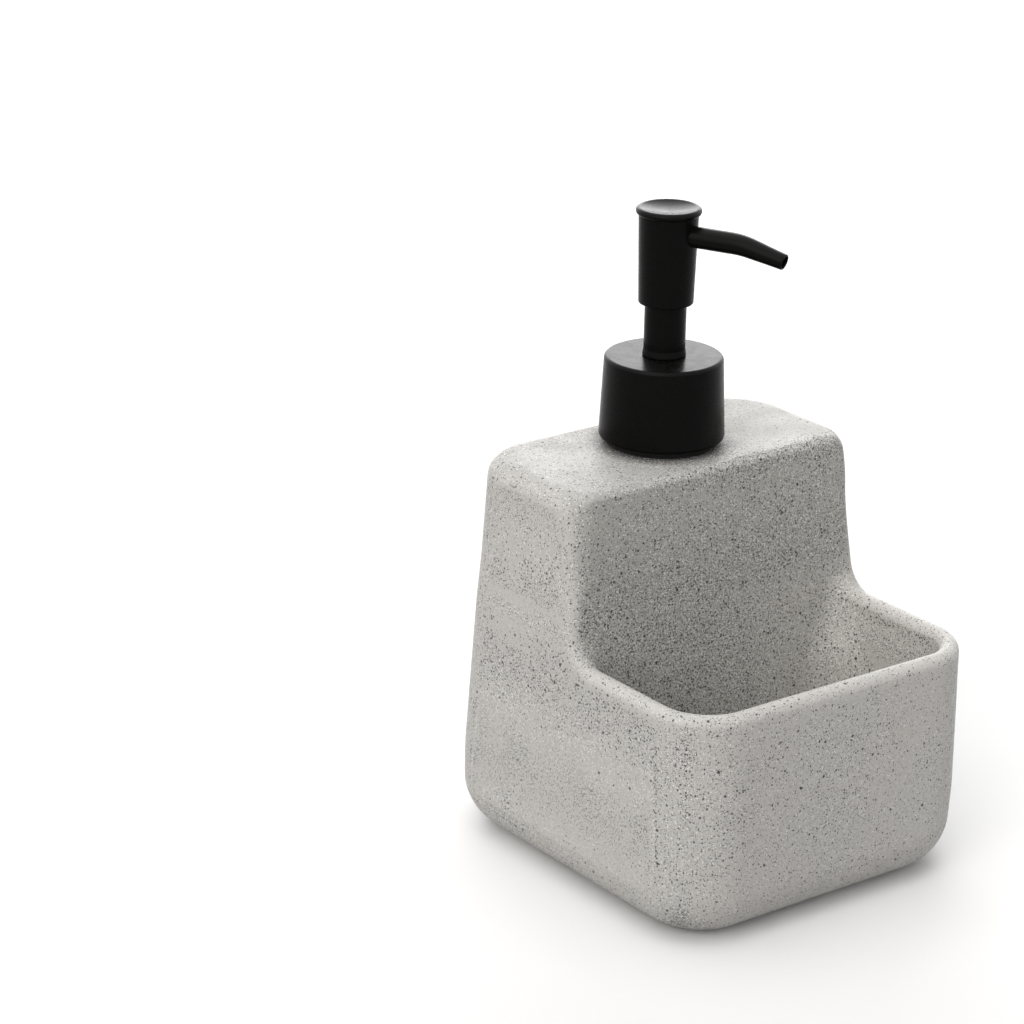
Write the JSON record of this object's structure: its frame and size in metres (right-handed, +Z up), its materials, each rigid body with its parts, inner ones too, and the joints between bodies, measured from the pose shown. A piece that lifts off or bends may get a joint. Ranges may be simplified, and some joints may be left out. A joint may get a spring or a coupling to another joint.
{
  "type": "soap pump caddy",
  "caption": "Speckled stoneware soap dispenser with a raised reservoir, an open sponge tray with a rounded lip in front of it, and a black lotion pump with a swivelling spout.",
  "frame": {"origin": "on the table, under the middle of the body's bounding box", "axes": "+Z up, -Y towards the front with the sponge tray, +X to the right as seen from the front"},
  "size_m": [0.112, 0.1204, 0.1932],
  "materials": {
    "stoneware": "matte, light grey with small dark speckles",
    "black_metal": "satin black coating",
    "black_plastic": "matte black",
    "natural_plastic": "uncoloured, slightly milky",
    "gasket_rubber": "soft black",
    "bright_steel": "bright drawn wire and polished ball"
  },
  "bodies": {
    "caddy": {"ceramic_body": "stoneware", "neck_insert": "black_plastic", "insert_gasket": "gasket_rubber"},
    "pump": {"pump_housing": "natural_plastic", "stem_guide": "natural_plastic", "neck_sleeve": "black_metal", "neck_gasket": "gasket_rubber", "dip_tube": "natural_plastic", "ball_retainer": "natural_plastic", "return_spring": "bright_steel"},
    "closure": {"closure_nut": "black_plastic", "collar_sleeve": "black_metal"},
    "stem": {"stem": "natural_plastic", "lower_stem": "natural_plastic"},
    "head": {"head_core": "black_plastic", "head_shell": "black_metal", "head_cap": "black_metal", "spout": "black_metal"},
    "piston": {"piston": "natural_plastic"},
    "ball": {"inlet_ball": "bright_steel"}
  },
  "joints": [
    {"name": "pump_lift", "type": "slide", "parent": "caddy", "child": "pump", "axis": [0, 0, 1], "range_m": [0, 0.13]},
    {"name": "closure_turn", "type": "hinge", "parent": "pump", "child": "closure", "pos_m": [0, 0.02562, 0.135], "axis": [0, 0, 1], "range_deg": [0, 540]},
    {"name": "head_press", "type": "slide", "parent": "pump", "child": "stem", "axis": [0, 0, -1], "range_m": [0, 0.013], "stiffness_N_per_m": 300, "springref_m": -0.012, "deforming": ["return_spring"]},
    {"name": "head_turn", "type": "hinge", "parent": "stem", "child": "head", "pos_m": [0, 0.02562, 0.18], "axis": [0, 0, 1], "continuous": true},
    {"name": "piston_shift", "type": "slide", "parent": "stem", "child": "piston", "axis": [0, 0, 1], "range_m": [0, 0.0012]},
    {"name": "ball_lift", "type": "slide", "parent": "pump", "child": "ball", "axis": [0, 0, 1], "range_m": [0, 0.0014]}
  ]
}
